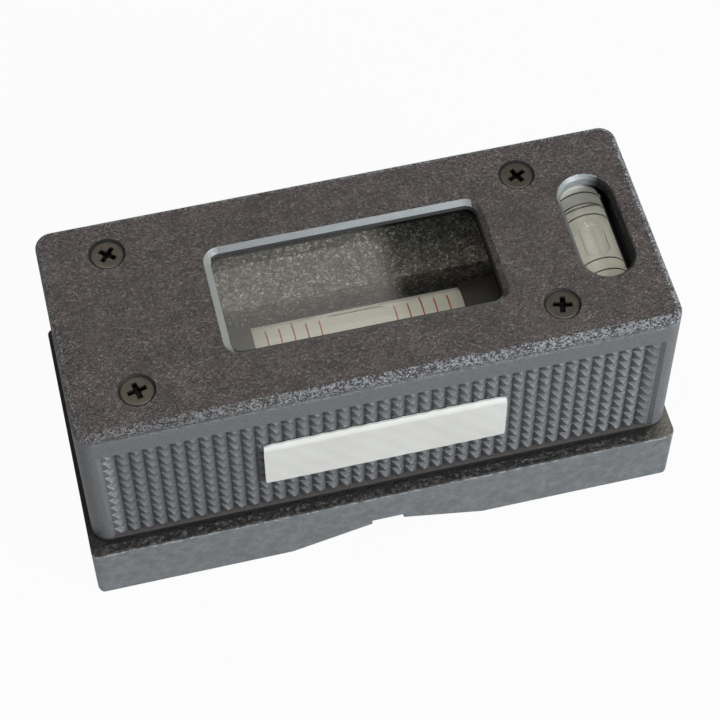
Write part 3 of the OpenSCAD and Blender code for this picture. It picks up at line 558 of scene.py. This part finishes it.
def cross_screw(x, y, turn):
    """Disc of rings and spokes whose height falls into a tapered cross near the middle, rolls over at the rim, and
    runs down the cone and shank to a point."""
    ring = np.concatenate([np.linspace(0, 2.1, 29), [2.3, 2.5, 2.62, 2.76, 2.88, HEAD_R, SCREW_R, SCREW_R, 0.0]])
    height = np.interp(ring, [0, 2.5, 2.62, 2.76, 2.88, HEAD_R], [0, 0, -0.015, -0.06, -0.13, -0.22])
    spokes = np.linspace(0, 2 * np.pi, 120, endpoint=False)
    gx, gy = np.outer(ring, np.cos(spokes)), np.outer(ring, np.sin(spokes))
    gz = np.repeat(height[:, None], 120, axis=1)
    c, s = math.cos(math.radians(turn)), math.sin(math.radians(turn))
    u, v = np.abs(gx * c + gy * s), np.abs(gy * c - gx * s)
    along, across = np.maximum(u, v), np.minimum(u, v)
    depth = np.clip((0.46 - across) / 0.1, 0, 1) * np.clip((1.72 - along) / 0.3, 0, 1)
    depth = np.maximum(depth, np.clip((0.95 - along - across * 0.75) / 0.12, 0, 1)) * RECESS_DEPTH
    gz -= np.where(ring[:, None] < 2.2, depth, 0)
    gz[-3:] = np.array([[-1.6], [-SCREW_L + 0.6], [-SCREW_L]])
    points = np.stack([gx + x, gy + y, gz + HEAD_Z], axis=-1).reshape(-1, 3)
    return points, grid_faces(len(ring), 120, wrap=True)


def screw_steel():
    """Brown oxide, painted near black below the face as shade in the countersink, rubbed bright in places."""
    material, tree, shader = new_material("screw_steel", (0.2, 0.18, 0.15), 0.4, 0.75)
    grit, place = add_grit(tree, 2200.0, 500.0)
    face = climb(tree, axes_in_mm(tree, place)[2], HEAD_Z - 0.55, HEAD_Z - 0.1)
    oxide = add_mix(tree, grit.outputs["Blotch"], (0.064, 0.054, 0.044), (0.120, 0.106, 0.090))
    # Under the face the head is painted near black: shade where it sits in its countersink.
    tree.links.new(add_mix(tree, face, (0.004, 0.004, 0.004), oxide), shader.inputs["Base Color"])
    tree.links.new(add_math(tree, "ADD", 0.3, add_math(tree, "MULTIPLY", grit.outputs["Speckle"], 0.3)),
                   shader.inputs["Roughness"])
    add_bump(tree, shader, grit.outputs["Height"], 0.00003)
    return material


screws = [cross_screw(*place, turn) for place, turn in zip(SCREW_PLACES, SCREW_TURNS)]
screw_piece = add_piece("hood_screws", *joined(screws), "root", "screw_steel", crease=30)
screw_piece.data.materials.append(screw_steel())
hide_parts("housing_screws")


# Label.
# A thin cream sheet stuck over the tips of the front grip field. It is bare. The points under it make it a
# little wavy, and its edges have curled and picked up dirt.
LABEL_HALF_L, LABEL_HALF_H, LABEL_Z, LABEL_T, LABEL_TUCK_H = 21.7, 5.5, 28.75, 0.34, 0.8


def label_sheet():
    """Two sheets LABEL_T apart on one grid and a strip round them. Their distance from the wall is a slow wave, and
    the corners are rounded by drawing the grid's rim in. The top edge is tucked into the valley behind it."""
    u = np.linspace(-1, 1, 90)
    v = np.linspace(-1, 1, 45)
    gu, gv = np.meshgrid(u, v)
    x = gu * (LABEL_HALF_L - 0.12 * np.abs(gv) ** 8)
    z = LABEL_Z + gv * (LABEL_HALF_H - 0.12 * np.abs(gu) ** 16 - 0.05 * np.sin(x * 1.1) ** 2 * np.abs(gv) ** 6)
    lift = 0.03 + 0.03 * np.sin(x * np.pi / GRIP_PITCH) * np.cos(z * np.pi / GRIP_PITCH)
    tuck = 0.6 * np.clip((z - LABEL_Z - LABEL_HALF_H) / LABEL_TUCK_H + 1, 0, 1) ** 1.5
    front = hood_half_w(z) + lift - tuck
    outer = np.stack([x, -(front + LABEL_T), z], axis=-1).reshape(-1, 3)
    inner = np.stack([x, -front, z], axis=-1).reshape(-1, 3)
    n, m = gu.shape
    rim = np.concatenate([np.arange(m), np.arange(2, n) * m - 1, np.arange(n * m - 1, (n - 1) * m - 1, -1),
                          np.arange(n - 2, 0, -1) * m])
    after = np.roll(rim, -1)
    strip = np.stack([rim, after, after + n * m, rim + n * m], axis=-1)
    faces = list(grid_faces(n, m)) + list(grid_faces(n, m, first=n * m)) + list(strip)
    return np.concatenate([outer, inner]), faces


def cream_sheet():
    """Satin cream with faint stains and grey dirt."""
    material, tree, shader = new_material("label_sheet", (0.72, 0.71, 0.66), 0.45)
    grit, _ = add_grit(tree, 1500.0, 70.0)
    stain = add_ramp(tree, grit.outputs["Blotch"], [(0.35, (0.60, 0.59, 0.55)), (0.6, (0.64, 0.63, 0.60))])
    dirt_and_shade = add_ramp(tree, grit.outputs["Speckle"], [(0.16, 1.0), (0.24, 0.0)])
    tree.links.new(add_mix(tree, add_math(tree, "MULTIPLY", dirt_and_shade, 0.25), stain, (0.3, 0.29, 0.27)),
                   shader.inputs["Base Color"])
    add_bump(tree, shader, grit.outputs["Height"], 0.000005)
    return material


label = add_piece("cream_label", *label_sheet(), "root", "label_sheet", crease=40)
label.data.materials.append(cream_sheet())
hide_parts("label_plate")


# Window pane.
# A clear moulded sheet cemented under the window, with its seal. It is polished, slightly cool, and its edges are
# covered by the black sealant.
def clear_finish(name, color, ior, roughness):
    """Clear material: a transmitting shader seen directly, and plain see-through tint for shadow and diffuse rays,
    so that light reaches what lies behind."""
    material, tree, shader = new_material(name, color, roughness, Transmission_Weight=1.0, IOR=ior)
    path = add_node(tree, "ShaderNodeLightPath")
    passing = add_math(tree, "MAXIMUM", path.outputs["Is Shadow Ray"], path.outputs["Is Diffuse Ray"])
    clear = add_node(tree, "ShaderNodeBsdfTransparent", {"Color": (*color, 1)})
    mix = add_node(tree, "ShaderNodeMixShader", {0: passing, 1: shader.outputs[0], 2: clear.outputs[0]})
    tree.links.new(mix.outputs[0], tree.nodes["Material Output"].inputs["Surface"])
    grit, _ = add_grit(tree, 600.0, 90.0)
    tree.links.new(add_math(tree, "MULTIPLY", grit.outputs["Blotch"], roughness * 2), shader.inputs["Roughness"])
    return material


def black_edges(material):
    """Covers the upright faces of a clear piece with black sealant and returns it."""
    tree = material.node_tree
    surface = tree.nodes["Material Output"].inputs["Surface"]
    normal = add_node(tree, "ShaderNodeNewGeometry").outputs["True Normal"]
    facing = add_node(tree, "ShaderNodeSeparateXYZ", {0: normal})
    upright = add_math(tree, "LESS_THAN", add_math(tree, "ABSOLUTE", facing.outputs["Z"]), 0.5)
    sealant = add_node(tree, "ShaderNodeBsdfDiffuse", {"Color": (0.008, 0.008, 0.008, 1)})
    mix = add_node(tree, "ShaderNodeMixShader", {0: upright, 1: surface.links[0].from_socket, 2: sealant.outputs[0]})
    tree.links.new(mix.outputs[0], surface)
    return material


dress(black_edges(clear_finish("clear_pane", (0.98, 0.985, 0.98), 1.49, 0.02)), "window_pane")


# Main vial.
# A ground glass tube filled with spirit and closed by plugs, cemented with plaster in its sleeve over a cream
# lining. Glass and spirit look like one clear rod. Red lines are fired on it, and the bubble lies at its top.
MAIN_X, MAIN_Z, MAIN_R, MAIN_HALF_L, MAIN_BORE_R = 0.6, 26.5, 5.5, 25.0, 4.4
CROSS_Z, CROSS_R, CROSS_HALF_L, CROSS_BORE_R = 40.1, 4.5, 12.3, 3.6
BUBBLE_GAP, BUBBLE_SAG, MAIN_BUBBLE, CROSS_BUBBLE = 0.06, 0.3, (7.0, 1.44), (4.0, 0.64)
SPOKES = 72


def rod(radius, half_l, rounding):
    """Surface of revolution about X: a plain cylinder whose ends turn in by a quarter circle to flat faces."""
    turns = np.radians(np.linspace(0, 90, 7))
    x = half_l - rounding + rounding * np.cos(turns)
    r = radius - rounding + rounding * np.sin(turns)
    x = np.concatenate([[half_l], x, np.linspace(x[-1], -x[-1], 24)[1:-1], -x[::-1], [-half_l]])
    r = np.concatenate([[0.0], r, np.full(22, radius), r[::-1], [0.0]])
    spokes = np.linspace(0, 2 * np.pi, SPOKES, endpoint=False)
    points = np.stack([np.repeat(x[:, None], SPOKES, 1), np.outer(r, np.cos(spokes)), np.outer(r, np.sin(spokes))], -1)
    return points.reshape(-1, 3), grid_faces(len(x), SPOKES, wrap=True)


def bubble(radius, half_l, depth):
    """Lens of vapour under the top of a bore: its roof is the bore's circle, and its underside hangs from a chord
    at that depth by half an ellipse. Both meet along an outline that is a rectangle with full round ends."""
    t = np.sin(np.radians(np.linspace(-90, 90, 41)))
    half_chord = math.sqrt(radius ** 2 - (radius - depth) ** 2)
    from_end = half_l - np.abs(t) * half_l
    width = half_chord * np.sqrt(np.clip(1 - (1 - np.minimum(from_end / half_chord, 1)) ** 2, 0, 1))
    s = np.sin(np.radians(np.linspace(-90, 90, 21)))
    y = width[:, None] * s[None, :]
    roof = np.sqrt(radius ** 2 - y ** 2)
    brim = np.sqrt(radius ** 2 - width ** 2)[:, None]
    chord = brim - BUBBLE_SAG * np.sqrt(1 - s[None, :] ** 2) * (width[:, None] / half_chord)
    x = np.repeat((t * half_l)[:, None], 21, axis=1)
    top = np.stack([x, y, roof], axis=-1).reshape(-1, 3)
    under = np.stack([x, y, chord], axis=-1).reshape(-1, 3)
    return np.concatenate([top, under]), list(grid_faces(41, 21)) + list(grid_faces(41, 21, first=41 * 21))


def along_x(shape):
    """Main vial's place."""
    points, faces = shape
    return points + [MAIN_X, 0, MAIN_Z], faces


def across_level(shape):
    """Cross vial's place: turned a quarter about Z."""
    points, faces = shape
    return np.stack([-points[:, 1], points[:, 0], points[:, 2]], axis=-1) + [SLOT_X, SLOT_Y, CROSS_Z], faces


vial_glass = clear_finish("vial_glass", (0.99, 0.99, 0.98), 1.46, 0.015)
main_vapour = clear_finish("bubble_vapour", (0.99, 0.99, 0.98), 0.905, 0.01)
main_glass = add_piece("main_vial_glass", *along_x(rod(MAIN_R, MAIN_HALF_L, 0.6)), "carrier", "vial_glass")
main_glass.data.materials.append(vial_glass)
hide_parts("main_vial_tube", "main_vial_plugs", "main_vial_liquid")
main_lens = add_piece("main_bubble_lens", *along_x(bubble(MAIN_BORE_R - BUBBLE_GAP, *MAIN_BUBBLE)),
                      "main_bubble_slug", "bubble_vapour", crease=30)
main_lens.data.materials.append(main_vapour)
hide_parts("main_bubble")


# Cross vial.
# A shorter vial of the same kind in a trough under the slot, with black rings round its upper side and white
# cement in its ends. Its bubble is small, and its outline shows more than the main one's.
cross_glass = add_piece("cross_vial_glass", *across_level(rod(CROSS_R, CROSS_HALF_L, 0.5)), "root", "vial_glass")
cross_glass.data.materials.append(vial_glass)
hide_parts("cross_vial_tube", "cross_vial_liquid")
cross_lens = add_piece("cross_bubble_lens", *across_level(bubble(CROSS_BORE_R - BUBBLE_GAP, *CROSS_BUBBLE)),
                       "cross_bubble_slug", "bubble_vapour", crease=30)
cross_lens.data.materials.append(clear_finish("cross_vapour", (0.99, 0.99, 0.98), 0.76, 0.01))
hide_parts("cross_bubble")


# Lines, linings and packings of both vials.
# Fired enamel lines, cream card linings under the glass, and white plaster at the ends, packed in wet round the
# tubes and set hard.
CEMENT_HALF_L, CEMENT_MIDDLE = 0.45, 11.75


def powdery(name, dark, light, roughness, scale):
    """Matt finish between two tones in fine grit, with a shallow relief."""
    material, tree, shader = new_material(name, light, roughness)
    grit, _ = add_grit(tree, scale, scale / 12)
    tree.links.new(add_mix(tree, grit.outputs["Blotch"], dark, light), shader.inputs["Base Color"])
    add_bump(tree, shader, grit.outputs["Height"], 0.00003)
    return material


def cream_card(name, across, middle, height, radius, half_l, glow, light):
    """Matt cream within a radius of the vial's axis and black beyond it, which is the card's back and edges, but not
    beyond half_l, at its ends. The cream face glows a little: light that the clear vial gathers along its length."""
    material, tree, shader = new_material(name, (0.82, 0.80, 0.71), 0.75)
    grit, place = add_grit(tree, 900.0, 75.0)
    x, y, z = axes_in_mm(tree, place)
    off, along = (y, x) if across == "Y" else (x, y)
    off = add_math(tree, "SUBTRACT", off, middle)
    rise = add_math(tree, "SUBTRACT", z, height)
    reach = add_math(tree, "ADD", add_math(tree, "MULTIPLY", off, off), add_math(tree, "MULTIPLY", rise, rise))
    end = add_math(tree, "GREATER_THAN", add_math(tree, "ABSOLUTE", along), half_l - 0.1)
    face = add_math(tree, "MAXIMUM", add_math(tree, "LESS_THAN", reach, radius ** 2), end)
    dark, pale = (tuple(light * part for part in tone) for tone in ((0.90, 0.88, 0.77), (1.0, 0.98, 0.88)))
    cream = add_mix(tree, grit.outputs["Blotch"], dark, pale)
    tree.links.new(add_mix(tree, face, (0.015, 0.015, 0.014), cream), shader.inputs["Base Color"])
    shader.inputs["Emission Color"].default_value = (1.0, 0.97, 0.85, 1)
    tree.links.new(add_math(tree, "MULTIPLY", face, glow), shader.inputs["Emission Strength"])
    return material


dress(powdery("red_enamel", (0.42, 0.05, 0.04), (0.62, 0.10, 0.08), 0.35, 4000.0), "main_graduations")
dress(powdery("black_enamel", (0.010, 0.010, 0.010), (0.03, 0.03, 0.03), 0.35, 4000.0), "cross_graduations")
dress(cream_card("main_lining", "Y", 0.0, MAIN_Z, MAIN_R + 0.1, 40.0, 0.075, 0.85), "main_reflector")
dress(cream_card("cross_lining", "X", SLOT_X, CROSS_Z, CROSS_R + 0.1, 10.2, 0.0, 0.76), "cross_reflector")
white_plaster = powdery("white_plaster", (0.60, 0.58, 0.53), (0.78, 0.76, 0.72), 0.9, 1500.0)
dress(white_plaster, "main_packings", "cross_packings")
end_points, end_faces = rod(CROSS_R - 0.08, CEMENT_HALF_L, 0.05)
ends = joined([(end_points + [side * CEMENT_MIDDLE, 0, 0], end_faces) for side in (-1, 1)])
cement = add_piece("cross_vial_cement", *across_level(ends), "root", "white_plaster")
cement.data.materials.append(white_plaster)
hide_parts("cross_vial_plugs")


# Sleeve and cross vial holder.
# The sleeve is a turned aluminium tube, blacked, with its lug and tongue left solid. The holder is moulded in
# matt black plastic and screwed to the bed.
dress(powdery("dark_sleeve", (0.004, 0.005, 0.004), (0.040, 0.030, 0.018), 0.6, 6000.0), "vial_sleeve")
dress(powdery("holder_plastic", (0.018, 0.018, 0.018), (0.035, 0.035, 0.035), 0.6, 1300.0), "cross_holder")


# Pivot pin, adjusting screw, washer, spring and holder screws.
# Bright turned steel. The pin is pressed through the bed, the screw and its washer hold the tongue down on the
# spring, and two short screws hold the holder.
def bright_steel():
    """Turned steel whose tone and gloss change a little in wide patches and fine specks."""
    material, tree, shader = new_material("bright_steel", (0.45, 0.45, 0.44), 0.3, 0.9)
    grit, _ = add_grit(tree, 3000.0, 250.0)
    tree.links.new(add_mix(tree, grit.outputs["Blotch"], (0.32, 0.31, 0.29), (0.52, 0.52, 0.51)),
                   shader.inputs["Base Color"])
    tree.links.new(add_math(tree, "ADD", 0.2, add_math(tree, "MULTIPLY", grit.outputs["Speckle"], 0.35)),
                   shader.inputs["Roughness"])
    add_bump(tree, shader, grit.outputs["Height"], 0.00002)
    return material


dress(bright_steel(), "pivot_pin", "adjusting_screw", "adjusting_washer", "adjusting_spring",
      "cross_holder_screws")


# Floor, lights and camera.
# A white sheet under the level, cool soft lights to the front and right, a weaker warm one over it, and a glowing
# sheet over the back left that the pane mirrors. The camera and the glass see white all round, and gloss a little.
ROOM_FILL, ROOM_GLOSS, HAZE_GLOW = 0.07, 0.18, 1.19


def floor():
    """Flat white sheet that the camera sees almost plain white, with a trace of the level's shadow."""
    mesh = bpy.data.meshes.new("floor")
    half = 3.0
    mesh.from_pydata([(-half, -half, 0), (half, -half, 0), (half, half, 0), (-half, half, 0)], [], [(0, 1, 2, 3)])
    piece = bpy.data.objects.new("floor", mesh)
    bpy.context.scene.collection.objects.link(piece)
    material, tree, shader = new_material("floor_white", (0.30, 0.30, 0.30), 0.9)
    path = add_node(tree, "ShaderNodeLightPath")
    seen = add_math(tree, "ADD", add_math(tree, "MULTIPLY", path.outputs["Is Camera Ray"], 0.96),
                    add_math(tree, "MULTIPLY", path.outputs["Is Glossy Ray"], 0.3))
    glow = add_node(tree, "ShaderNodeEmission", {"Color": (1, 1, 1, 1), "Strength": 1.0})
    mix = add_node(tree, "ShaderNodeMixShader", {0: seen, 1: shader.outputs[0], 2: glow.outputs[0]})
    tree.links.new(mix.outputs[0], tree.nodes["Material Output"].inputs["Surface"])
    mesh.materials.append(material)


def soft_light(name, place, target, size, power, color):
    """Square area light at place facing target."""
    lamp = bpy.data.lights.new(name, "AREA")
    lamp.shape = "RECTANGLE"
    lamp.size, lamp.size_y = size
    lamp.energy = power
    lamp.color = color
    piece = bpy.data.objects.new(name, lamp)
    bpy.context.scene.collection.objects.link(piece)
    piece.location = place
    piece.rotation_euler = (Vector(target) - Vector(place)).to_track_quat("-Z", "Y").to_euler()


def haze_card():
    """Glowing sheet over the back left. It fades out towards its right edge, and the pane's left half mirrors it."""
    mesh = bpy.data.meshes.new("haze_card")
    corners = [(-0.75, 0.25, 1.0), (0.42, 0.25, 1.0), (0.42, 1.05, 1.0), (-0.75, 1.05, 1.0)]
    mesh.from_pydata(corners, [], [(0, 3, 2, 1)])
    piece = bpy.data.objects.new("haze_card", mesh)
    bpy.context.scene.collection.objects.link(piece)
    material, tree, shader = new_material("haze_card", (0, 0, 0), 1.0)
    axes = add_node(tree, "ShaderNodeSeparateXYZ", {0: add_node(tree, "ShaderNodeTexCoord").outputs["Object"]})
    fade = climb(tree, axes.outputs["X"], 0.189, 0.174)
    shader.inputs["Emission Color"].default_value = (1.0, 0.97, 0.90, 1)
    tree.links.new(add_math(tree, "MULTIPLY", fade, HAZE_GLOW), shader.inputs["Emission Strength"])
    mesh.materials.append(material)
    piece.visible_camera = False


floor()
haze_card()
soft_light("key_light", (0.55, -0.60, 0.50), (0, 0, 0.03), (0.4, 0.35), 9.6, (0.95, 0.98, 1.0))
soft_light("edge_light", (0.15, -0.80, 0.57), (0, 0, 0.03), (0.34, 0.16), 0.8, (0.88, 0.95, 1.0))
soft_light("glint_light", (0.12, -0.42, 0.80), (0, 0, 0.03), (0.5, 0.1), 1.5, (0.88, 0.95, 1.0))
soft_light("top_light", (-0.25, -0.05, 0.95), (0, 0, 0.03), (0.5, 0.4), 1.8, (1.0, 0.96, 0.92))

world = bpy.data.worlds.new("white_room")
bpy.context.scene.world = world
world.use_nodes = True
sky = world.node_tree
path = add_node(sky, "ShaderNodeLightPath")
seen = add_math(sky, "MAXIMUM", path.outputs["Is Camera Ray"], path.outputs["Is Transmission Ray"])
seen = add_math(sky, "MAXIMUM", seen, add_math(sky, "MULTIPLY", path.outputs["Is Glossy Ray"], ROOM_GLOSS))
strength = add_math(sky, "ADD", ROOM_FILL, add_math(sky, "MULTIPLY", seen, 1 - ROOM_FILL))
sky.nodes["Background"].inputs["Color"].default_value = (1, 1, 1, 1)
sky.links.new(strength, sky.nodes["Background"].inputs["Strength"])

TARGET, DISTANCE, AZIMUTH, ELEVATION, ROLL = Vector((0.000873, 0.000542, 0.020)), 0.40112, -13.426, 56.539, -0.237
az, el, roll = (math.radians(turn) for turn in (AZIMUTH, ELEVATION, ROLL))
back = Vector((math.sin(az) * math.cos(el), -math.cos(az) * math.cos(el), math.sin(el)))
flat_right = Vector((math.cos(az), math.sin(az), 0))
flat_up = back.cross(flat_right)
right = math.cos(roll) * flat_right + math.sin(roll) * flat_up
up = back.cross(right)
lens = bpy.data.cameras.new("camera")
lens.lens, lens.sensor_width = 109.2, 36.0
camera = bpy.data.objects.new("camera", lens)
bpy.context.scene.collection.objects.link(camera)
camera.matrix_world = Matrix.Translation(TARGET + back * DISTANCE) @ Matrix((right, up, back)).transposed().to_4x4()
bpy.context.scene.camera = camera
bpy.context.scene.view_settings.view_transform = "Standard"
